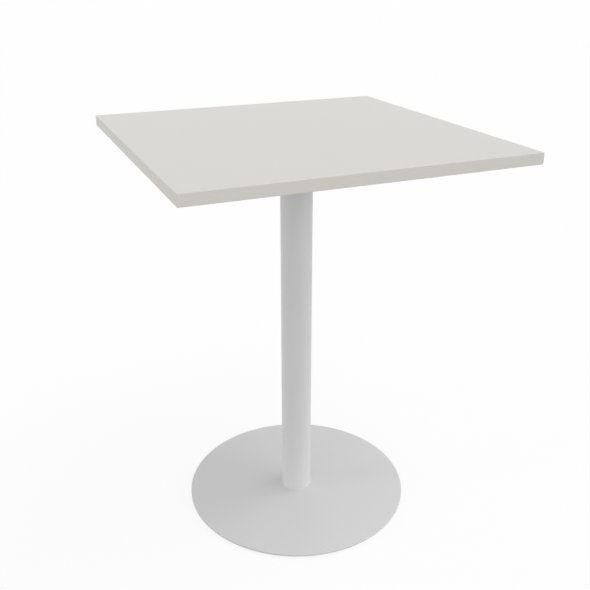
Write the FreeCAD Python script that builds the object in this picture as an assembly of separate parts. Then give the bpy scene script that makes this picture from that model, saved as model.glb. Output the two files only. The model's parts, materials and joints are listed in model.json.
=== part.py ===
import FreeCAD, Part
import math
import os

# High table: a square laminated top on one round column and a round steel base plate.
# Lengths are in millimetres and +Z is up. The origin is on the floor, under the
# column's axis. X and Y run along the edges of the top, whose front edge faces -Y.

# Table top
top_side = 800.0
core_thickness = 24.0
laminate_thickness = 0.8
band_thickness = 2.0
board_arris_radius = 0.8

# Mounting plate, four arms under the top
mounting_thickness = 5.0
mounting_arris_radius = 0.6
arm_width = 70.0
arm_reach = 280.0
arm_root_radius = 60.0
arm_corner_radius = 18.0
arm_screw_end_distance = 24.0
arm_screw_spacing = 95.0
arm_count = 4
arm_first_angle = 45.0

# Column
column_radius = 40.0
column_wall = 2.0
column_length = 975.0
hub_thickness = 14.0
hub_chamfer = 1.0

# Base plate
base_radius = 300.0
base_thickness = 6.0
base_upper_arris_radius = 1.5
base_lower_arris_radius = 0.5

# M6 screws and threaded inserts that hold the top
fixing_thread_radius = 3.0
fixing_length = 16.0
fixing_dome_radius = 5.25
fixing_head_height = 3.3
fixing_flange_radius = 6.8
fixing_flange_thickness = 0.9
fixing_socket_flats = 4.0
fixing_socket_depth = 2.1
insert_radius = 5.0
insert_length = 13.0
insert_chamfer = 0.6
insert_recess = 0.5
insert_hole_end_space = 1.0

# M8 countersunk screws, from the mounting plate and from the base plate into the hubs
hub_screw_radius = 4.0
hub_screw_length = 16.0
hub_screw_head_radius = 8.0
hub_screw_socket_flats = 5.0
hub_screw_socket_depth = 2.8
hub_screw_edge_distance = 13.0
hub_screw_count = 4

# Levelling glides
glide_count = 6
glide_first_angle = 30.0
glide_edge_distance = 40.0
stud_radius = 3.0
stud_length = 4.0
stud_hole_end_space = 0.5
hexagon_flats = 17.0
hexagon_thickness = 2.0
neck_radius = 7.0
foot_disc_radius = 10.0
foot_disc_thickness = 1.0
sole_radius = 15.0
sole_floor_thickness = 1.6
sole_lip_thickness = 0.7
sole_chamfer = 0.5

# End of every screw and stud
thread_end_chamfer = 0.5

# Clearances
thread_clearance = 0.05
insert_clearance = 0.05
hub_clearance = 0.1
screw_hole_clearance = 0.3
countersink_clearance = 0.1
swivel_clearance = 0.3
lip_clearance = 0.1
overrun = 1.0

# Angles and counts
hexagon_sides = 6
quarter_turn = 90.0
half_turn = 180.0
full_turn = 360.0

# Levels, from the floor up
foot_disc_top = sole_floor_thickness + foot_disc_thickness
sole_lip_bottom = foot_disc_top + lip_clearance
sole_top = sole_lip_bottom + sole_lip_thickness
hexagon_bottom = sole_top + lip_clearance
base_bottom = hexagon_bottom + hexagon_thickness
base_top = base_bottom + base_thickness
column_top = base_top + column_length
board_bottom = column_top + mounting_thickness
core_bottom = board_bottom + laminate_thickness
core_top = core_bottom + core_thickness
board_top = core_top + laminate_thickness

# Sizes and places that follow from the ones above
core_side = top_side - 2 * band_thickness
column_inner_radius = column_radius - column_wall
hub_radius = column_inner_radius - hub_clearance
hub_screw_circle = hub_radius - hub_screw_edge_distance
outer_fixing_circle = arm_reach - arm_screw_end_distance
inner_fixing_circle = outer_fixing_circle - arm_screw_spacing
insert_bottom = board_bottom + insert_recess
insert_hole_radius = insert_radius + insert_clearance
insert_hole_length = insert_recess + insert_length + insert_hole_end_space
glide_circle = base_radius - glide_edge_distance
stud_hole_length = stud_length + stud_hole_end_space


def vector(x, y, z):
    return FreeCAD.Vector(x, y, z)


def save(shape, node):
    shape.exportStep("parts/" + node + ".step")


def disc(radius, height, bottom):
    return Part.makeCylinder(radius, height, vector(0, 0, bottom))


def block(length_x, length_y, height, bottom):
    """A box centred on the Z axis, standing on the level bottom."""
    corner = vector(-length_x / 2, -length_y / 2, bottom)
    return Part.makeBox(length_x, length_y, height, corner)


def line(start, end):
    return Part.LineSegment(start, end).toShape()


def arc(start, middle, end):
    return Part.Arc(start, middle, end).toShape()


def polar(radius, angle, level):
    """A point at a distance from the Z axis, at an angle in degrees."""
    return vector(radius * math.cos(math.radians(angle)), radius * math.sin(math.radians(angle)), level)


def rounding(centre, radius, first_angle):
    """A quarter circle in the XZ plane, from first_angle on, in degrees."""
    points = []
    for angle in (first_angle, first_angle + quarter_turn / 2, first_angle + quarter_turn):
        turn = math.radians(angle)
        points.append(centre + vector(radius * math.cos(turn), 0, radius * math.sin(turn)))
    return arc(points[0], points[1], points[2])


def turned(edges):
    """Turns a closed outline in the XZ plane about the Z axis."""
    face = Part.Face(Part.Wire(edges))
    return face.revolve(vector(0, 0, 0), vector(0, 0, 1), full_turn)


def turned_polygon(outline):
    """Turns a closed polygon of (radius, level) points about the Z axis."""
    corners = [vector(radius, 0, level) for radius, level in outline]
    edges = []
    for i, corner in enumerate(corners):
        edges.append(line(corners[i - 1], corner))
    return turned(edges)


def hexagonal_bar(across_flats, height, bottom):
    corner_radius = across_flats / 2 / math.cos(math.pi / hexagon_sides)
    corners = []
    for i in range(hexagon_sides + 1):
        corners.append(polar(corner_radius, full_turn * i / hexagon_sides, bottom))
    return Part.Face(Part.makePolygon(corners)).extrude(vector(0, 0, height))


def edges_at_level(shape, level):
    """The edges of a shape that lie at one level."""
    found = []
    for edge in shape.Edges:
        middle = edge.valueAt((edge.FirstParameter + edge.LastParameter) / 2)
        levels = [vertex.Z for vertex in edge.Vertexes] + [middle.z]
        if max(abs(z - level) for z in levels) < Part.Precision.confusion():
            found.append(edge)
    return found


def circle_places(radius, count, first_angle):
    """Evenly spaced places on a circle about the Z axis."""
    return [polar(radius, first_angle + full_turn * i / count, 0) for i in range(count)]


def copies(shape, places):
    """One copy of a shape moved to each place."""
    moved = []
    for place in places:
        copy = shape.copy()
        copy.translate(place)
        moved.append(copy)
    return moved


def without(shape, tools):
    """The shape with every tool cut out of it."""
    return shape.cut(Part.makeCompound(tools))


def fixing_places():
    """Where the M6 screws and their inserts are: two on each arm."""
    inner = circle_places(inner_fixing_circle, arm_count, arm_first_angle)
    outer = circle_places(outer_fixing_circle, arm_count, arm_first_angle)
    return inner + outer


def hub_screw_places():
    return circle_places(hub_screw_circle, hub_screw_count, 0)


def glide_places():
    return circle_places(glide_circle, glide_count, glide_first_angle)


# Table top


def board():
    """The whole board with its small edge radius, before it is divided into its pieces."""
    slab = block(top_side, top_side, board_top - board_bottom, board_bottom)
    return slab.makeFillet(board_arris_radius, slab.Edges)


def top_core():
    core = block(core_side, core_side, core_thickness, core_bottom)
    hole = disc(insert_hole_radius, insert_hole_length, board_bottom)
    return without(core, copies(hole, fixing_places()))


def top_laminate():
    return block(core_side, core_side, laminate_thickness, core_top)


def underside_laminate():
    sheet = block(core_side, core_side, laminate_thickness, board_bottom)
    hole = disc(insert_hole_radius, laminate_thickness + 2 * overrun, board_bottom - overrun)
    return without(sheet, copies(hole, fixing_places()))


def board_strip(low_x, high_x, low_y, high_y):
    """The part of the board that lies between two X and two Y values."""
    height = board_top - board_bottom
    room = Part.makeBox(high_x - low_x, high_y - low_y, height, vector(low_x, low_y, board_bottom))
    return board().common(room)


def edge_bands():
    """Front and back bands run the full width, and the side bands fit between them."""
    outside = top_side / 2
    inside = core_side / 2
    return {
        "edge_band_front": board_strip(-outside, outside, -outside, -inside),
        "edge_band_back": board_strip(-outside, outside, inside, outside),
        "edge_band_left": board_strip(-outside, -inside, -inside, inside),
        "edge_band_right": board_strip(inside, outside, -inside, inside),
    }


def threaded_inserts():
    top = insert_bottom + insert_length
    insert = turned_polygon([
        (fixing_thread_radius, insert_bottom),
        (insert_radius, insert_bottom),
        (insert_radius, top - insert_chamfer),
        (insert_radius - insert_chamfer, top),
        (fixing_thread_radius, top),
    ])
    return Part.makeCompound(copies(insert, fixing_places()))


# Mounting plate and its screws


def arm_edges(angle):
    """The outline of one arm, and the round corner to the next one."""
    half_width = arm_width / 2
    half_step = full_turn / arm_count / 2
    root = (half_width + arm_root_radius) / math.tan(math.radians(half_step))
    middle_of_root = (half_width + arm_root_radius) / math.sin(math.radians(half_step)) - arm_root_radius
    corner_share = 1 - math.cos(math.radians(quarter_turn / 2))
    end = arm_reach - arm_corner_radius
    side = half_width - arm_corner_radius
    middle_along = arm_reach - arm_corner_radius * corner_share
    middle_across = half_width - arm_corner_radius * corner_share

    def point(along, across):
        turn = math.radians(angle)
        x = along * math.cos(turn) - across * math.sin(turn)
        y = along * math.sin(turn) + across * math.cos(turn)
        return vector(x, y, column_top)

    next_root_angle = angle + 2 * half_step - math.degrees(math.atan2(half_width, root))
    next_root = polar(math.hypot(root, half_width), next_root_angle, column_top)
    return [
        line(point(root, -half_width), point(end, -half_width)),
        arc(point(end, -half_width), point(middle_along, -middle_across), point(arm_reach, -side)),
        line(point(arm_reach, -side), point(arm_reach, side)),
        arc(point(arm_reach, side), point(middle_along, middle_across), point(end, half_width)),
        line(point(end, half_width), point(root, half_width)),
        arc(point(root, half_width), polar(middle_of_root, angle + half_step, column_top), next_root),
    ]


def mounting_plate():
    edges = []
    for i in range(arm_count):
        edges += arm_edges(arm_first_angle + full_turn * i / arm_count)
    plate = Part.Face(Part.Wire(edges)).extrude(vector(0, 0, mounting_thickness))
    plate = plate.makeFillet(mounting_arris_radius, edges_at_level(plate, column_top))
    hole_radius = fixing_thread_radius + screw_hole_clearance
    hole = disc(hole_radius, mounting_thickness + 2 * overrun, column_top - overrun)
    countersink = countersink_tool(mounting_thickness)
    countersink.translate(vector(0, 0, board_bottom))
    return without(plate, copies(hole, fixing_places()) + copies(countersink, hub_screw_places()))


def countersink_tool(thickness):
    """The hole for a hub screw: the face of the plate is at level 0, its body below."""
    mouth = hub_screw_head_radius + countersink_clearance
    hole = hub_screw_radius + screw_hole_clearance
    return turned_polygon([
        (0, overrun),
        (mouth + overrun, overrun),
        (hole, hole - mouth),
        (hole, -thickness - overrun),
        (0, -thickness - overrun),
    ])


def hub_screw():
    """Countersunk: the top of the head is at level 0, and the screw points down."""
    shank = hub_screw_radius - thread_clearance
    screw = turned_polygon([
        (0, 0),
        (hub_screw_head_radius, 0),
        (shank, shank - hub_screw_head_radius),
        (shank, thread_end_chamfer - hub_screw_length),
        (shank - thread_end_chamfer, -hub_screw_length),
        (0, -hub_screw_length),
    ])
    socket = hexagonal_bar(hub_screw_socket_flats, hub_screw_socket_depth + overrun, -hub_screw_socket_depth)
    return screw.cut(socket)


def mounting_plate_screws():
    screw = hub_screw()
    screw.translate(vector(0, 0, board_bottom))
    return Part.makeCompound(copies(screw, hub_screw_places()))


def top_fixing_screws():
    """Domed heads with a flange, seated on the lower face of the mounting plate."""
    shank = fixing_thread_radius - thread_clearance
    flange_bottom = column_top - fixing_flange_thickness
    head_bottom = column_top - fixing_head_height
    tip = column_top + fixing_length
    dome_height = flange_bottom - head_bottom
    sphere_radius = (fixing_dome_radius ** 2 + dome_height ** 2) / (2 * dome_height)
    half_angle = math.asin(fixing_dome_radius / sphere_radius) / 2
    dome_middle = vector(
        sphere_radius * math.sin(half_angle), 0,
        head_bottom + sphere_radius * (1 - math.cos(half_angle)),
    )
    corners = [
        vector(0, 0, tip),
        vector(shank - thread_end_chamfer, 0, tip),
        vector(shank, 0, tip - thread_end_chamfer),
        vector(shank, 0, column_top),
        vector(fixing_flange_radius, 0, column_top),
        vector(fixing_flange_radius, 0, flange_bottom),
        vector(fixing_dome_radius, 0, flange_bottom),
    ]
    edges = [line(corners[i], corners[i + 1]) for i in range(len(corners) - 1)]
    edges.append(arc(corners[-1], dome_middle, vector(0, 0, head_bottom)))
    edges.append(line(vector(0, 0, head_bottom), corners[0]))
    socket = hexagonal_bar(fixing_socket_flats, fixing_socket_depth + overrun, head_bottom - overrun)
    screw = turned(edges).cut(socket)
    return Part.makeCompound(copies(screw, fixing_places()))


# Column


def column_tube():
    outside = disc(column_radius, column_length, base_top)
    inside = disc(column_inner_radius, column_length + 2 * overrun, base_top - overrun)
    return outside.cut(inside)


def hub(bottom):
    """A chamfered disc in one end of the column, with its tapped holes."""
    top = bottom + hub_thickness
    body = turned_polygon([
        (0, bottom),
        (hub_radius - hub_chamfer, bottom),
        (hub_radius, bottom + hub_chamfer),
        (hub_radius, top - hub_chamfer),
        (hub_radius - hub_chamfer, top),
        (0, top),
    ])
    hole = disc(hub_screw_radius, hub_thickness + 2 * overrun, bottom - overrun)
    return without(body, copies(hole, hub_screw_places()))


# Base plate and its screws


def base_plate():
    upper = base_top - base_upper_arris_radius
    lower = base_bottom + base_lower_arris_radius
    upper_centre = vector(base_radius - base_upper_arris_radius, 0, upper)
    lower_centre = vector(base_radius - base_lower_arris_radius, 0, lower)
    edges = [
        line(vector(0, 0, base_bottom), vector(lower_centre.x, 0, base_bottom)),
        rounding(lower_centre, base_lower_arris_radius, -quarter_turn),
        line(vector(base_radius, 0, lower), vector(base_radius, 0, upper)),
        rounding(upper_centre, base_upper_arris_radius, 0),
        line(vector(upper_centre.x, 0, base_top), vector(0, 0, base_top)),
        line(vector(0, 0, base_top), vector(0, 0, base_bottom)),
    ]
    stud_hole = disc(stud_radius, stud_hole_length + overrun, base_bottom - overrun)
    countersink = countersink_tool(base_thickness)
    countersink.rotate(vector(0, 0, 0), vector(1, 0, 0), half_turn)
    countersink.translate(vector(0, 0, base_bottom))
    holes = copies(stud_hole, glide_places()) + copies(countersink, hub_screw_places())
    return without(turned(edges), holes)


def base_screws():
    screw = hub_screw()
    screw.rotate(vector(0, 0, 0), vector(1, 0, 0), half_turn)
    screw.translate(vector(0, 0, base_bottom))
    return Part.makeCompound(copies(screw, hub_screw_places()))


# Levelling glides


def glide_stem():
    """Stud, hexagon, neck and foot disc in one piece."""
    shank = stud_radius - thread_clearance
    top = base_bottom + stud_length
    turned_part = turned_polygon([
        (0, sole_floor_thickness),
        (foot_disc_radius, sole_floor_thickness),
        (foot_disc_radius, foot_disc_top),
        (neck_radius, foot_disc_top),
        (neck_radius, hexagon_bottom),
        (shank, hexagon_bottom),
        (shank, top - thread_end_chamfer),
        (shank - thread_end_chamfer, top),
        (0, top),
    ])
    hexagon = hexagonal_bar(hexagon_flats, hexagon_thickness, hexagon_bottom)
    return turned_part.fuse(hexagon).removeSplitter()


def glide_sole():
    """A shallow cup with a lip that holds the foot disc."""
    recess_radius = foot_disc_radius + swivel_clearance
    mouth_radius = neck_radius + swivel_clearance
    return turned_polygon([
        (0, 0),
        (sole_radius - sole_chamfer, 0),
        (sole_radius, sole_chamfer),
        (sole_radius, sole_top - sole_chamfer),
        (sole_radius - sole_chamfer, sole_top),
        (mouth_radius, sole_top),
        (mouth_radius, sole_lip_bottom),
        (recess_radius, sole_lip_bottom),
        (recess_radius, sole_floor_thickness),
        (0, sole_floor_thickness),
    ])


def build():
    os.makedirs("parts", exist_ok=True)
    save(top_core(), "top_core")
    save(top_laminate(), "top_laminate")
    save(underside_laminate(), "underside_laminate")
    for node, band in edge_bands().items():
        save(band, node)
    save(threaded_inserts(), "threaded_inserts")
    save(mounting_plate(), "mounting_plate")
    save(top_fixing_screws(), "top_fixing_screws")
    save(mounting_plate_screws(), "mounting_plate_screws")
    save(column_tube(), "column_tube")
    save(hub(column_top - hub_thickness), "column_top_hub")
    save(hub(base_top), "column_bottom_hub")
    save(base_plate(), "base_plate")
    save(base_screws(), "base_screws")
    stems = copies(glide_stem(), glide_places())
    soles = copies(glide_sole(), glide_places())
    for i in range(glide_count):
        save(stems[i], "glide_stem_" + str(i + 1))
        save(soles[i], "glide_sole_" + str(i + 1))


build()
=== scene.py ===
import json
import math
import bmesh
import bpy
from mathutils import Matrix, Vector


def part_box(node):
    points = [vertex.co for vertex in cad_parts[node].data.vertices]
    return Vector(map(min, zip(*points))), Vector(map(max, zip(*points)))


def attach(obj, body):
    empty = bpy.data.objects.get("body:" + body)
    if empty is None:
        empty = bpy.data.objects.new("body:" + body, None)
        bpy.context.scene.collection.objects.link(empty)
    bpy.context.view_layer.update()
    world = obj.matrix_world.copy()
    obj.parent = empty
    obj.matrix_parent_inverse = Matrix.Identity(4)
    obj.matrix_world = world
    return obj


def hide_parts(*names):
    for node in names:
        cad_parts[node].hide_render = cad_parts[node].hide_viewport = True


# High table: finishes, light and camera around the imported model. Lengths are in metres, in the
# model's own frame, with +Z up, the floor at zero and the front edge of the top facing -Y.

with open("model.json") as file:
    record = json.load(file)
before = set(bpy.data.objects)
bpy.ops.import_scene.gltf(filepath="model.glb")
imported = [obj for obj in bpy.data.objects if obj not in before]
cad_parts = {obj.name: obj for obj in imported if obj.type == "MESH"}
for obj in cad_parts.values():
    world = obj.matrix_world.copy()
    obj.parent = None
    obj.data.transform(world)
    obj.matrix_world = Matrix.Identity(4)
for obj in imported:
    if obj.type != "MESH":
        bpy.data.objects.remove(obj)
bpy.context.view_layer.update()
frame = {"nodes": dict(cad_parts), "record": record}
nodes = frame["nodes"]

# Camera, in metres, degrees and millimetres of lens and sensor
camera_place = (-0.72454, -1.68498, 1.39464)
camera_turn = -23.1539
camera_pitch = 23.5066
camera_lens = 47.284
camera_sensor = 36.0

# Light
white = (1.0, 1.0, 1.0)
background_white = 0.991
dome_strength = 0.597
floor_radius = 14.0
floor_steps = 128
floor_grey = (0.37, 0.37, 0.37)
floor_glow_share = 0.65
floor_glow = 1.34
lamps = {
    "front_key_light": {"azimuth": -60.0, "elevation": 70.0, "spread": 30.0, "strength": 0.342},
    "right_key_light": {"azimuth": -5.0, "elevation": 55.0, "spread": 30.0, "strength": 0.474},
    "right_light": {"azimuth": -45.0, "elevation": 5.0, "spread": 40.0, "strength": 1.281},
    "left_light": {"azimuth": 210.0, "elevation": 5.0, "spread": 40.0, "strength": 0.399},
    "left_edge_light": {"azimuth": 170.0, "elevation": 10.0, "spread": 15.0, "strength": 0.505},
}

# Colours, linear
top_grey = (0.709, 0.700, 0.665)
band_grey = (0.716, 0.694, 0.645)
underside_white = (0.720, 0.715, 0.700)
coat_white = (0.740, 0.740, 0.740)
pale_chip = (0.520, 0.360, 0.210)
dark_chip = (0.250, 0.150, 0.075)
brass = (0.66, 0.49, 0.25)
zinc = (0.62, 0.63, 0.65)
raw_steel = (0.40, 0.39, 0.38)
nylon_black = (0.045, 0.045, 0.047)

# Surfaces. Gloss is the strength of the clear reflection, where plain plastic has 0.5. Shades are
# the darkest and palest share of the colour. Relief is the depth of the finest pattern.
plain_gloss = 0.5
no_gloss = 0.0
fully_rough = 1.0
laminate = {
    "gloss": 0.30,
    "roughness": (0.38, 0.48),
    "pearl": {"size": 0.0009, "detail": 3.0, "roughness": 0.55},
    "cloud": {"size": 0.12, "detail": 4.0, "roughness": 0.60},
    "shades": (0.994, 1.006),
    "relief": 0.00002,
}
band = {
    "gloss": 0.20,
    "roughness": (0.36, 0.46),
    "stretch": (0.004, 0.004, 1.0),
    "lines": {"size": 0.0006, "detail": 2.0, "roughness": 0.50},
    "shades": (0.985, 1.015),
    "relief": 0.00001,
}
coat = {
    "roughness": (0.40, 0.50),
    "peel": {"size": 0.0018, "detail": 2.0, "roughness": 0.50},
    "cloud": {"size": 0.08, "detail": 3.0, "roughness": 0.55},
    "shades": (0.995, 1.005),
    "relief": 0.00003,
}
chips = {
    "roughness": (0.85, 0.85),
    "stretch": (1.0, 1.0, 3.0),
    "flake_size": 0.0035,
    "grain": {"size": 0.0008, "detail": 4.0, "roughness": 0.60},
    "relief": 0.0003,
}
metal = {
    "stain": {"size": 0.004, "detail": 4.0, "roughness": 0.60},
    "stretch": (1.0, 1.0, 6.0),
    "grain": {"size": 0.0005, "detail": 2.0, "roughness": 0.50},
    "shades": (0.90, 1.06),
    "relief": 0.000004,
}
nylon = {
    "roughness": (0.50, 0.62),
    "texture": {"size": 0.0006, "detail": 3.0, "roughness": 0.60},
    "cloud": {"size": 0.008, "detail": 3.0, "roughness": 0.50},
    "shades": (0.96, 1.03),
    "relief": 0.00002,
}
brass_roughness = (0.28, 0.42)
zinc_roughness = (0.26, 0.40)
raw_steel_roughness = (0.42, 0.60)
joint_line_width = 0.00015
joint_line_shade = 0.72

# Column and base plate
column_wall = 0.002
column_steps = 180
base_upper_arris_radius = 0.0015
base_lower_arris_radius = 0.0005
base_flat_strip = 0.0002
base_steps = 360
arris_steps = 8
countersink_radius = 0.0081
hub_screw_hole_radius = 0.0043
stud_hole_radius = 0.003
stud_hole_depth = 0.0045

# Screws and inserts that hold the top: two on each of the mounting plate's four arms
arm_count = 4
arm_first_angle = 45.0
fixing_circles = (0.161, 0.256)
fixing_thread_radius = 0.00295
fixing_dome_radius = 0.00525
fixing_head_height = 0.0033
fixing_flange_radius = 0.0068
fixing_flange_thickness = 0.0009
fixing_flange_rounding = 0.0003
fixing_socket_flats = 0.004
fixing_socket_depth = 0.0021
fixing_pitch = 0.001
insert_radius = 0.005
insert_bore_radius = 0.003
insert_pitch = 0.0025
insert_thread_depth = 0.0009

# Countersunk screws in the column's two ends
hub_screw_count = 4
hub_screw_circle = 0.0249
hub_screw_radius = 0.00395
hub_screw_head_radius = 0.008
hub_screw_head_chamfer = 0.0003
hub_screw_socket_flats = 0.005
hub_screw_socket_depth = 0.0028
hub_screw_pitch = 0.00125

# Levelling glides
glide_count = 6
foot_disc_radius = 0.010
foot_disc_thickness = 0.001
neck_radius = 0.007
hexagon_flats = 0.017
hexagon_thickness = 0.002
hexagon_face_radius = 0.0082
stud_length = 0.004
stud_radius = 0.00295

# Shapes that every screw and stud shares
hexagon_chamfer_angle = math.radians(30.0)
socket_mouth_chamfer = 0.00015
thread_depth_share = 0.6134
thread_crest_share = 0.125
thread_foot_share = 0.875
thread_end_chamfer = 0.0005
thread_end_share = 0.15
thread_run_out_turns = 0.3
fixing_thread_depth = fixing_pitch * thread_depth_share
fixing_root_radius = fixing_thread_radius - fixing_thread_depth
stud_root_radius = stud_radius - fixing_thread_depth
hub_screw_thread_depth = hub_screw_pitch * thread_depth_share
hub_screw_root_radius = hub_screw_radius - hub_screw_thread_depth

# Fineness of the turned meshes, and the angle at which an edge starts to show
turned_steps = 72
dome_steps = 8
smooth_limit = math.radians(25.0)

# Angles: the first two in degrees, the others in radians
right_angle = 90.0
full_circle = 360.0
quarter_turn = math.radians(right_angle)
full_turn = math.radians(full_circle)
hexagon_side_turn = math.radians(60.0)

# Helpers for node materials


def new_node(owner, kind, **settings):
    """A node in the tree of a material or a world."""
    node = owner.node_tree.nodes.new(kind)
    for name, value in settings.items():
        setattr(node, name, value)
    return node


def link(owner, output, socket):
    owner.node_tree.links.new(output, socket)


def combined(owner, operation, first, second):
    node = new_node(owner, "ShaderNodeMath", operation=operation)
    link(owner, first, node.inputs[0])
    link(owner, second, node.inputs[1])
    return node.outputs["Value"]


def new_material(name, colour, roughness, metallic=0.0, gloss=plain_gloss):
    """A material with one Principled shader, whose constant values are set on its own sockets."""
    material = bpy.data.materials.new(name)
    material.use_nodes = True
    material.diffuse_color = (*colour, 1.0)
    shader = material.node_tree.nodes["Principled BSDF"]
    shader.inputs["Base Color"].default_value = (*colour, 1.0)
    shader.inputs["Roughness"].default_value = sum(roughness) / len(roughness)
    shader.inputs["Metallic"].default_value = metallic
    shader.inputs["Specular IOR Level"].default_value = gloss
    return material, shader


def place_in_model(material):
    """The point's place in the model's frame, in metres."""
    return new_node(material, "ShaderNodeTexCoord").outputs["Object"]


def stretched(material, vector, scale):
    """The place multiplied by a scale for each axis."""
    node = new_node(material, "ShaderNodeMapping")
    node.inputs["Scale"].default_value = scale
    link(material, vector, node.inputs["Vector"])
    return node.outputs["Vector"]


def noise(material, vector, size, detail, roughness):
    """Soft noise whose features are about size metres across."""
    node = new_node(material, "ShaderNodeTexNoise")
    node.inputs["Scale"].default_value = 1.0 / size
    node.inputs["Detail"].default_value = detail
    node.inputs["Roughness"].default_value = roughness
    link(material, vector, node.inputs["Vector"])
    return node.outputs["Fac"]


def cells(material, vector, size):
    """A colour for each Voronoi cell. Cells are about size metres across."""
    node = new_node(material, "ShaderNodeTexVoronoi")
    node.inputs["Scale"].default_value = 1.0 / size
    link(material, vector, node.inputs["Vector"])
    return node.outputs["Color"]


def spread(material, factor, limits):
    """Maps a factor from 0..1 to the range between two limits."""
    node = new_node(material, "ShaderNodeMapRange")
    node.inputs["To Min"].default_value = limits[0]
    node.inputs["To Max"].default_value = limits[1]
    link(material, factor, node.inputs["Value"])
    return node.outputs["Result"]


def blended(material, factor, first, second):
    """A colour between first and second, by a varying factor."""
    node = new_node(material, "ShaderNodeMix", data_type="RGBA")
    node.inputs["A"].default_value = (*first, 1.0)
    node.inputs["B"].default_value = (*second, 1.0)
    link(material, factor, node.inputs["Factor"])
    return node.outputs["Result"]


def shade(colour, factor):
    return tuple(channel * factor for channel in colour)


def shaded(material, factor, colour, shades):
    """A colour that varies between two of its shades."""
    return blended(material, factor, shade(colour, shades[0]), shade(colour, shades[1]))


def lined(material, face, line, colour):
    """The face's own colour, and a joint's darker one where the line is 1."""
    result = blended(material, line, colour, shade(colour, joint_line_shade))
    link(material, face, result.node.inputs["A"])
    return result


def relief(material, shader, height, depth):
    """Bumps the shader's surface by a height map, depth metres deep."""
    node = new_node(material, "ShaderNodeBump")
    node.inputs["Strength"].default_value = 1.0
    node.inputs["Distance"].default_value = depth
    link(material, height, node.inputs["Height"])
    link(material, node.outputs["Normal"], shader.inputs["Normal"])


def distance_from_middle(material, place, axis):
    """The point's distance from the model's middle along one axis."""
    split = new_node(material, "ShaderNodeSeparateXYZ")
    link(material, place, split.inputs["Vector"])
    distance = new_node(material, "ShaderNodeMath", operation="ABSOLUTE")
    link(material, split.outputs[axis], distance.inputs[0])
    return distance.outputs["Value"]


def hairline(material, distance, edge):
    """Rises to 1 just inside an edge, where a joint shows as a dark line, and stays 1 beyond it."""
    line = new_node(material, "ShaderNodeMapRange")
    line.inputs["From Min"].default_value = edge - joint_line_width
    line.inputs["From Max"].default_value = edge - joint_line_width / 2
    link(material, distance, line.inputs["Value"])
    return line.outputs["Result"]


def past(material, distance, edge):
    """1 beyond an edge, 0 before it."""
    node = new_node(material, "ShaderNodeMath", operation="GREATER_THAN")
    link(material, distance, node.inputs[0])
    node.inputs[1].default_value = edge
    return node.outputs["Value"]


# Materials


def pearl_laminate(name, colour, node):
    """Melamine laminate on a CAD node: fine pearl texture, and a hairline of glue at its edges."""
    material, shader = new_material(name, colour, laminate["roughness"], gloss=laminate["gloss"])
    place = place_in_model(material)
    low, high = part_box(node)
    pearl = noise(material, place, **laminate["pearl"])
    cloud = noise(material, place, **laminate["cloud"])
    across = distance_from_middle(material, place, "X")
    along = distance_from_middle(material, place, "Y")
    glue = hairline(material, combined(material, "MAXIMUM", across, along), high.x)
    face = shaded(material, cloud, colour, laminate["shades"])
    link(material, lined(material, face, glue, colour), shader.inputs["Base Color"])
    link(material, spread(material, pearl, laminate["roughness"]), shader.inputs["Roughness"])
    relief(material, shader, pearl, laminate["relief"])
    return material


def plastic_band(name, colour, side_node):
    """Plastic edge band: faint lines from the extruder, and a joint at each corner of the top."""
    material, shader = new_material(name, colour, band["roughness"], gloss=band["gloss"])
    place = place_in_model(material)
    low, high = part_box(side_node)
    lines = noise(material, stretched(material, place, band["stretch"]), **band["lines"])
    across = distance_from_middle(material, place, "X")
    along = distance_from_middle(material, place, "Y")
    ends = hairline(material, along, high.y)
    inside = past(material, along, high.y)
    on_side = past(material, across, min(abs(low.x), abs(high.x)))
    joint = combined(material, "MULTIPLY", combined(material, "SUBTRACT", ends, inside), on_side)
    face = shaded(material, lines, colour, band["shades"])
    link(material, lined(material, face, joint, colour), shader.inputs["Base Color"])
    link(material, spread(material, lines, band["roughness"]), shader.inputs["Roughness"])
    relief(material, shader, lines, band["relief"])
    return material


def powder_coat(name, colour):
    """Baked powder coat: satin, with the slight orange peel that it always has."""
    material, shader = new_material(name, colour, coat["roughness"])
    place = place_in_model(material)
    peel = noise(material, place, **coat["peel"])
    cloud = noise(material, place, **coat["cloud"])
    link(material, shaded(material, cloud, colour, coat["shades"]), shader.inputs["Base Color"])
    link(material, spread(material, peel, coat["roughness"]), shader.inputs["Roughness"])
    relief(material, shader, peel, coat["relief"])
    return material


def chipboard(name):
    """Pressed wood chips, from pale to dark, flatter than they are wide."""
    material, shader = new_material(name, pale_chip, chips["roughness"])
    place = place_in_model(material)
    flakes = cells(material, stretched(material, place, chips["stretch"]), chips["flake_size"])
    grain = noise(material, place, **chips["grain"])
    split = new_node(material, "ShaderNodeSeparateColor")
    link(material, flakes, split.inputs["Color"])
    colour = blended(material, split.outputs["Red"], dark_chip, pale_chip)
    link(material, colour, shader.inputs["Base Color"])
    relief(material, shader, grain, chips["relief"])
    return material


def plated_metal(name, colour, roughness):
    """Plated or drawn metal: fine stains and grain vary its gloss."""
    material, shader = new_material(name, colour, roughness, metallic=1.0)
    place = place_in_model(material)
    stain = noise(material, place, **metal["stain"])
    grain = noise(material, stretched(material, place, metal["stretch"]), **metal["grain"])
    link(material, shaded(material, stain, colour, metal["shades"]), shader.inputs["Base Color"])
    link(material, spread(material, stain, roughness), shader.inputs["Roughness"])
    relief(material, shader, grain, metal["relief"])
    return material


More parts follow.
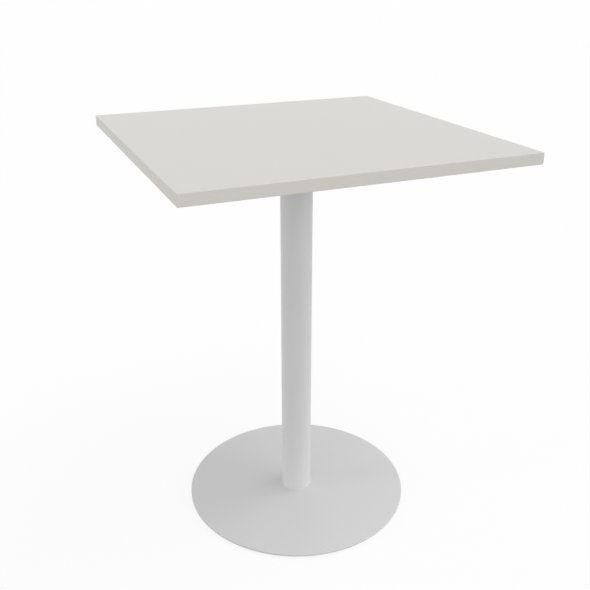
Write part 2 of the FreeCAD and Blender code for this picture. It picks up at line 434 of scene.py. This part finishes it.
def moulded_nylon(name, colour):
    """Injection-moulded nylon with a fine spark-eroded texture."""
    material, shader = new_material(name, colour, nylon["roughness"])
    place = place_in_model(material)
    texture = noise(material, place, **nylon["texture"])
    cloud = noise(material, place, **nylon["cloud"])
    link(material, shaded(material, cloud, colour, nylon["shades"]), shader.inputs["Base Color"])
    link(material, spread(material, texture, nylon["roughness"]), shader.inputs["Roughness"])
    relief(material, shader, texture, nylon["relief"])
    return material


def make_finishes():
    """One material for each of the record's material slots."""
    return {
        "chipboard": chipboard("chipboard"),
        "top_laminate": pearl_laminate("top_laminate", top_grey, "top_laminate"),
        "underside_laminate": pearl_laminate(
            "underside_laminate", underside_white, "underside_laminate"
        ),
        "edge_band": plastic_band("edge_band", band_grey, "edge_band_right"),
        "insert_brass": plated_metal("insert_brass", brass, brass_roughness),
        "white_powder_coat": powder_coat("white_powder_coat", coat_white),
        "zinc_steel": plated_metal("zinc_steel", zinc, zinc_roughness),
        "hub_steel": plated_metal("hub_steel", raw_steel, raw_steel_roughness),
        "sole_plastic": moulded_nylon("sole_plastic", nylon_black),
    }


def finish_nodes(finishes):
    """Gives every carried-over piece its finish."""
    for entry in frame["record"]["subparts"]:
        for place in nodes[entry["node"]].material_slots:
            place.material = finishes[entry["material_slot"]]


# Places


def on_axis(level):
    """A place on the axis of the column."""
    return Vector((0.0, 0.0, level))


def on_circle(radius, angle, level):
    """A place round the axis of the column."""
    return Vector((radius * math.cos(angle), radius * math.sin(angle), level))


def circle_places(radius, count, first_angle, level):
    places = []
    for i in range(count):
        angle = math.radians(first_angle + full_circle * i / count)
        places.append(on_circle(radius, angle, level))
    return places


def fixing_places(level):
    """The places of the eight screws between the mounting plate and the top."""
    places = []
    for radius in fixing_circles:
        places += circle_places(radius, arm_count, arm_first_angle, level)
    return places


def hub_screw_places(level):
    """The places of the four screws at one end of the column."""
    return circle_places(hub_screw_circle, hub_screw_count, 0.0, level)


def foot_of(node):
    """The point in the middle of a node's box, at its lowest level."""
    low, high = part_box(node)
    return Vector(((low.x + high.x) / 2, (low.y + high.y) / 2, low.z))


# Turned meshes. A row says its radius and level at every angle, and levels are above the place.


def plain(radius, level):
    """A round row."""
    return lambda angle: (radius, level)


def hexagon_radius(across_flats, angle):
    """Distance from the axis to a hexagon with a corner at angle 0."""
    from_flat = angle % hexagon_side_turn - hexagon_side_turn / 2
    return across_flats / 2 / math.cos(from_flat)


def hexagon_row(across_flats, level, margin=0.0):
    """A row that stands a margin outside a hexagon."""
    return lambda angle: (hexagon_radius(across_flats, angle) + margin, level)


def chamfered_hexagon(across_flats, bottom, top, face_radius):
    """Rows of a hexagon whose corners are turned to a cone outside a circle on each face."""
    slope = math.tan(hexagon_chamfer_angle)

    def face_row(level):
        return lambda angle: (min(hexagon_radius(across_flats, angle), face_radius), level)

    def cone_row(level, side):
        def row(angle):
            radius = hexagon_radius(across_flats, angle)
            return radius, level + side * max(0.0, radius - face_radius) * slope

        return row

    return [face_row(bottom), cone_row(bottom, 1.0), cone_row(top, -1.0), face_row(top)]


def thread(radius, depth, pitch, low, high):
    """A right-hand thread, which joins the row before it to the row after it."""
    return {"radius": radius, "depth": depth, "pitch": pitch, "low": low, "high": high}


def join_rings(mesh, lower, upper):
    for i in range(len(lower)):
        following = (i + 1) % len(lower)
        mesh.faces.new((lower[i], lower[following], upper[following], upper[i]))


def add_turned(mesh, rows, place, upside_down=False, is_ring=False, steps=turned_steps):
    """Adds a turned solid to a mesh, at a place. A ring's last row joins its first."""
    side = -1.0 if upside_down else 1.0

    def new_point(step, radius, level):
        point = on_circle(radius, side * full_turn * step / steps, side * level)
        return mesh.verts.new(place + point)

    rings = []
    threads = {}
    for row in rows:
        if isinstance(row, dict):
            threads[len(rings)] = row
        else:
            rings.append([new_point(i, *row(full_turn * i / steps)) for i in range(steps)])
    for i in range(1, len(rings)):
        if i in threads:
            join_by_thread(mesh, rings[i - 1], rings[i], threads[i], new_point)
        else:
            join_rings(mesh, rings[i - 1], rings[i])
    if is_ring:
        join_rings(mesh, rings[-1], rings[0])
    else:
        mesh.faces.new(reversed(rings[0]))
        mesh.faces.new(rings[-1])


def join_by_thread(mesh, lower, upper, facts, new_point):
    """Joins two rings of a rod by a thread whose ridge runs out into the rod at both ends."""
    steps = len(lower)
    pitch = facts["pitch"]
    root_radius = facts["radius"] - facts["depth"]
    root_flat = (1.0 - thread_foot_share) * pitch
    crest_start = root_flat + (thread_foot_share - thread_crest_share) / 2 * pitch
    crest_end = crest_start + thread_crest_share * pitch
    length = facts["high"] - facts["low"]
    last = int((length / pitch - 1.0 - thread_end_share) * steps)
    margin = thread_end_share / 2 * pitch
    roots = []
    feet = []
    crest_lows = []
    crest_highs = []
    for i in range(last + steps + 1):
        level = facts["low"] + margin + pitch * i / steps
        roots.append(new_point(i, root_radius, level))
        if i > last:
            continue
        growth = min(1.0, min(i, last - i) / steps / thread_run_out_turns)
        space_above = facts["high"] - level - crest_end
        tip_limit = facts["radius"] - max(0.0, thread_end_chamfer - space_above)
        crest_radius = max(root_radius, min(root_radius + facts["depth"] * growth, tip_limit))
        feet.append(new_point(i, root_radius, level + root_flat))
        crest_lows.append(new_point(i, crest_radius, level + crest_start))
        crest_highs.append(new_point(i, crest_radius, level + crest_end))
    for i in range(last):
        for near, far in ((roots, feet), (feet, crest_lows), (crest_lows, crest_highs)):
            mesh.faces.new((near[i], near[i + 1], far[i + 1], far[i]))
        turn_on = i + steps
        mesh.faces.new((crest_highs[i], crest_highs[i + 1], roots[turn_on + 1], roots[turn_on]))
    for i in range(steps - 1):
        mesh.faces.new((lower[i], lower[i + 1], roots[i + 1], roots[i]))
    start = (roots[0], feet[0], crest_lows[0], crest_highs[0], roots[steps])
    mesh.faces.new((lower[-1], lower[0], *start, roots[steps - 1]))
    end = (roots[last + steps], crest_highs[last], crest_lows[last], feet[last], roots[last])
    mesh.faces.new((upper[last % steps], *end, roots[last + 1], upper[(last + 1) % steps]))
    for i in range(last + 1, last + steps):
        mesh.faces.new((roots[i], roots[i + 1], upper[(i + 1) % steps], upper[i % steps]))


def make_piece(name, mesh, slot, finishes, body, replaced):
    """Turns a finished mesh into a piece that rides on a body and stands for a CAD node."""
    mesh.normal_update()
    for face in mesh.faces:
        face.smooth = True
    for edge in mesh.edges:
        edge.smooth = edge.calc_face_angle(math.pi) < smooth_limit
    data = bpy.data.meshes.new(name)
    mesh.to_mesh(data)
    mesh.free()
    data.materials.append(finishes[slot])
    piece = bpy.data.objects.new(name, data)
    bpy.context.scene.collection.objects.link(piece)
    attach(piece, body)
    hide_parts(replaced)


# Column and base plate


def add_column(finishes):
    """The column's tube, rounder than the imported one."""
    low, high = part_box("column_tube")
    outer = (high.x - low.x) / 2
    inner = outer - column_wall
    length = high.z - low.z
    rows = [plain(outer, 0.0), plain(outer, length), plain(inner, length), plain(inner, 0.0)]
    mesh = bmesh.new()
    add_turned(mesh, rows, on_axis(low.z), is_ring=True, steps=column_steps)
    make_piece("column_tube_round", mesh, "white_powder_coat", finishes, "table", "column_tube")


def new_ring(mesh, place, radius, level, steps=turned_steps):
    ring = []
    for i in range(steps):
        ring.append(mesh.verts.new(place + on_circle(radius, full_turn * i / steps, level)))
    return ring


def rim_profile(radius, thickness):
    """Radius and level of each ring of the base plate's rim, from its lower face to its upper one."""
    lower_centre = radius - base_lower_arris_radius
    upper_centre = radius - base_upper_arris_radius
    angles = [quarter_turn * i / arris_steps for i in range(arris_steps + 1)]
    rows = [(lower_centre - base_flat_strip, 0.0)]
    for angle in angles:
        out = base_lower_arris_radius * math.sin(angle)
        up = base_lower_arris_radius * (1.0 - math.cos(angle))
        rows.append((lower_centre + out, up))
    for angle in angles:
        out = base_upper_arris_radius * math.cos(angle)
        down = base_upper_arris_radius * (1.0 - math.sin(angle))
        rows.append((upper_centre + out, thickness - down))
    rows.append((upper_centre - base_flat_strip, thickness))
    return rows


def hub_screw_hole(mesh, place, thickness):
    """A countersunk hole from beneath through the base plate. Gives its two outer rings."""
    countersink_depth = countersink_radius - hub_screw_hole_radius
    mouth = new_ring(mesh, place, countersink_radius, 0.0)
    throat = new_ring(mesh, place, hub_screw_hole_radius, countersink_depth)
    outlet = new_ring(mesh, place, hub_screw_hole_radius, thickness)
    join_rings(mesh, mouth, throat)
    join_rings(mesh, throat, outlet)
    return mouth, outlet


def stud_hole(mesh, place):
    """A blind hole from beneath for a glide's stud. Gives the ring at its mouth."""
    mouth = new_ring(mesh, place, stud_hole_radius, 0.0)
    end = new_ring(mesh, place, stud_hole_radius, stud_hole_depth)
    join_rings(mesh, mouth, end)
    mesh.faces.new(end)
    return mouth


def fill_between(mesh, rings):
    """Fills the flat face that an outer ring and the rings of its holes bound."""
    edges = []
    for ring in rings:
        for i, corner in enumerate(ring):
            edges.append(mesh.edges.get((corner, ring[(i + 1) % len(ring)])))
    bmesh.ops.triangle_fill(mesh, use_beauty=True, edges=edges)


def add_base_plate(finishes):
    """The base plate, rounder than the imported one, with the same holes."""
    low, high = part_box("base_plate")
    middle = on_axis(low.z)
    thickness = high.z - low.z
    mesh = bmesh.new()
    rims = []
    for radius, level in rim_profile((high.x - low.x) / 2, thickness):
        rims.append(new_ring(mesh, middle, radius, level, base_steps))
    for lower, upper in zip(rims, rims[1:]):
        join_rings(mesh, lower, upper)
    lower_rings = [rims[0]]
    upper_rings = [rims[-1]]
    for place in hub_screw_places(low.z):
        mouth, outlet = hub_screw_hole(mesh, place, thickness)
        lower_rings.append(mouth)
        upper_rings.append(outlet)
    for number in range(1, glide_count + 1):
        place = foot_of("glide_stem_" + str(number))
        place.z = low.z
        lower_rings.append(stud_hole(mesh, place))
    fill_between(mesh, lower_rings)
    fill_between(mesh, upper_rings)
    bmesh.ops.recalc_face_normals(mesh, faces=mesh.faces)
    make_piece("base_plate_round", mesh, "white_powder_coat", finishes, "table", "base_plate")


# Screws, inserts and glides with their threads, in place of the plain ones


def dome_level(radius):
    """Level of the button head's dome at a radius. Its lowest point is at level 0."""
    height = fixing_head_height - fixing_flange_thickness
    sphere_radius = (fixing_dome_radius ** 2 + height ** 2) / (2 * height)
    return sphere_radius - math.sqrt(sphere_radius ** 2 - radius ** 2)


def dome_row(share):
    """A row on the domed head, from the socket's mouth at share 0 to the flange at share 1."""
    def row(angle):
        mouth = hexagon_radius(fixing_socket_flats, angle) + socket_mouth_chamfer
        radius = mouth + (fixing_dome_radius - mouth) * share
        return radius, dome_level(radius)

    return row


def dome_mouth_row(angle):
    """The inner edge of the chamfer round the socket in the dome."""
    radius = hexagon_radius(fixing_socket_flats, angle)
    return radius, dome_level(radius + socket_mouth_chamfer) + socket_mouth_chamfer


def button_screw_rows(length):
    """Flanged button-head screw that points up."""
    flange_bottom = fixing_head_height - fixing_flange_thickness
    rows = [hexagon_row(fixing_socket_flats, fixing_socket_depth), dome_mouth_row]
    for i in range(dome_steps + 1):
        rows.append(dome_row(i / dome_steps))
    rows += [
        plain(fixing_flange_radius - fixing_flange_rounding, flange_bottom),
        plain(fixing_flange_radius, flange_bottom + fixing_flange_rounding),
        plain(fixing_flange_radius, fixing_head_height),
        plain(fixing_root_radius, fixing_head_height),
        thread(fixing_thread_radius, fixing_thread_depth, fixing_pitch, fixing_head_height, length),
        plain(fixing_root_radius, length),
    ]
    return rows


def countersunk_screw_rows(length):
    """Countersunk screw that points up from the flat face of its head."""
    neck_level = hub_screw_head_radius - hub_screw_radius
    thread_low = neck_level + hub_screw_thread_depth
    head_face_radius = hub_screw_head_radius - hub_screw_head_chamfer
    return [
        hexagon_row(hub_screw_socket_flats, hub_screw_socket_depth),
        hexagon_row(hub_screw_socket_flats, socket_mouth_chamfer),
        hexagon_row(hub_screw_socket_flats, 0.0, socket_mouth_chamfer),
        plain(head_face_radius, 0.0),
        plain(head_face_radius, hub_screw_head_chamfer),
        plain(hub_screw_radius, neck_level),
        plain(hub_screw_root_radius, thread_low),
        thread(hub_screw_radius, hub_screw_thread_depth, hub_screw_pitch, thread_low, length),
        plain(hub_screw_root_radius, length),
    ]


def insert_rows(length):
    """Threaded insert: a sleeve, which its coarse outer thread stands on."""
    root_radius = insert_radius - insert_thread_depth
    return [
        plain(root_radius, 0.0),
        thread(insert_radius, insert_thread_depth, insert_pitch, 0.0, length),
        plain(root_radius, length),
        plain(insert_bore_radius, length),
        plain(insert_bore_radius, 0.0),
    ]


def stem_rows(length):
    """Levelling glide's stem: foot disc, neck, hexagon and stud, from the disc's underside up."""
    stud_bottom = length - stud_length
    hexagon_bottom = stud_bottom - hexagon_thickness
    return [
        plain(foot_disc_radius, 0.0),
        plain(foot_disc_radius, foot_disc_thickness),
        plain(neck_radius, foot_disc_thickness),
        plain(neck_radius, hexagon_bottom),
        *chamfered_hexagon(hexagon_flats, hexagon_bottom, stud_bottom, hexagon_face_radius),
        plain(stud_root_radius, stud_bottom),
        thread(stud_radius, fixing_thread_depth, fixing_pitch, stud_bottom, length),
        plain(stud_root_radius, length),
    ]


def add_top_screws(finishes):
    low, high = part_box("top_fixing_screws")
    mesh = bmesh.new()
    for place in fixing_places(low.z):
        add_turned(mesh, button_screw_rows(high.z - low.z), place)
    make_piece("top_screws_threaded", mesh, "zinc_steel", finishes, "table", "top_fixing_screws")


def add_inserts(finishes):
    low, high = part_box("threaded_inserts")
    mesh = bmesh.new()
    for place in fixing_places(low.z):
        add_turned(mesh, insert_rows(high.z - low.z), place, is_ring=True)
    make_piece("top_inserts_threaded", mesh, "insert_brass", finishes, "table", "threaded_inserts")


def add_base_screws(finishes):
    low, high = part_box("base_screws")
    mesh = bmesh.new()
    for place in hub_screw_places(low.z):
        add_turned(mesh, countersunk_screw_rows(high.z - low.z), place)
    make_piece("base_screws_threaded", mesh, "zinc_steel", finishes, "table", "base_screws")


def add_plate_screws(finishes):
    low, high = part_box("mounting_plate_screws")
    mesh = bmesh.new()
    for place in hub_screw_places(high.z):
        add_turned(mesh, countersunk_screw_rows(high.z - low.z), place, upside_down=True)
    make_piece(
        "plate_screws_threaded", mesh, "zinc_steel", finishes, "table", "mounting_plate_screws"
    )


def add_glide_stem(number, finishes):
    node = "glide_stem_" + str(number)
    low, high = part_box(node)
    mesh = bmesh.new()
    add_turned(mesh, stem_rows(high.z - low.z), foot_of(node))
    piece = "glide_stem_threaded_" + str(number)
    make_piece(piece, mesh, "zinc_steel", finishes, "stem_" + str(number), node)


# Stage: floor, background, light and camera


def background_ray(owner):
    """1 for camera, glossy and transmission rays, which see the pale background."""
    path = new_node(owner, "ShaderNodeLightPath").outputs
    seen = combined(owner, "MAXIMUM", path["Is Camera Ray"], path["Is Glossy Ray"])
    return combined(owner, "MAXIMUM", seen, path["Is Transmission Ray"])


def white_world():
    """A soft dome, which the camera and reflections see as the white background."""
    world = bpy.data.worlds.new("dome")
    bpy.context.scene.world = world
    world.use_nodes = True
    shader = world.node_tree.nodes["Background"]
    shader.inputs["Color"].default_value = (*white, 1.0)
    level = new_node(world, "ShaderNodeMapRange")
    level.inputs["To Min"].default_value = dome_strength
    level.inputs["To Max"].default_value = background_white
    link(world, background_ray(world), level.inputs["Value"])
    link(world, level.outputs["Result"], shader.inputs["Strength"])


def mixed_shader(material, factor, first, second):
    node = new_node(material, "ShaderNodeMixShader")
    link(material, factor, node.inputs["Fac"])
    link(material, first, node.inputs[1])
    link(material, second, node.inputs[2])
    return node.outputs["Shader"]


def floor_material():
    """Pale matt floor. Part of what the camera sees is its own glow, and the rest keeps the shadow.

    It shows from above only, so that a view from beneath isn't blocked.
    """
    material, shader = new_material("floor", floor_grey, (fully_rough,), gloss=no_gloss)
    glow = new_node(material, "ShaderNodeEmission")
    glow.inputs["Strength"].default_value = floor_glow
    share = new_node(material, "ShaderNodeMath", operation="MULTIPLY")
    share.inputs[1].default_value = floor_glow_share
    link(material, background_ray(material), share.inputs[0])
    matt = shader.outputs["BSDF"]
    above = mixed_shader(material, share.outputs["Value"], matt, glow.outputs["Emission"])
    beneath = new_node(material, "ShaderNodeNewGeometry").outputs["Backfacing"]
    clear = new_node(material, "ShaderNodeBsdfTransparent").outputs["BSDF"]
    surface = mixed_shader(material, beneath, above, clear)
    link(material, surface, material.node_tree.nodes["Material Output"].inputs["Surface"])
    return material


def floor():
    bpy.ops.mesh.primitive_circle_add(vertices=floor_steps, radius=floor_radius, fill_type="NGON")
    disc = bpy.context.object
    disc.name = "floor"
    disc.data.materials.append(floor_material())


def soft_lamps():
    """Large, far lamps: two high ones, a low one on the right of the front, two low on the left."""
    for name, facts in lamps.items():
        lamp = bpy.data.lights.new(name, "SUN")
        lamp.angle = math.radians(facts["spread"])
        lamp.energy = facts["strength"]
        holder = bpy.data.objects.new(name, lamp)
        holder.visible_glossy = False
        bpy.context.scene.collection.objects.link(holder)
        tilt = math.radians(right_angle - facts["elevation"])
        holder.rotation_euler = (0.0, tilt, math.radians(facts["azimuth"]))


def camera():
    data = bpy.data.cameras.new("camera")
    data.sensor_width = camera_sensor
    data.lens = camera_lens
    holder = bpy.data.objects.new("camera", data)
    bpy.context.scene.collection.objects.link(holder)
    holder.location = camera_place
    tilt = math.radians(right_angle - camera_pitch)
    holder.rotation_euler = (tilt, 0.0, math.radians(camera_turn))
    bpy.context.scene.camera = holder


bpy.context.scene.view_settings.view_transform = "Standard"
finishes = make_finishes()
finish_nodes(finishes)
add_column(finishes)
add_base_plate(finishes)
add_top_screws(finishes)
add_inserts(finishes)
add_base_screws(finishes)
add_plate_screws(finishes)
for glide_number in range(1, glide_count + 1):
    add_glide_stem(glide_number, finishes)
white_world()
floor()
soft_lamps()
camera()
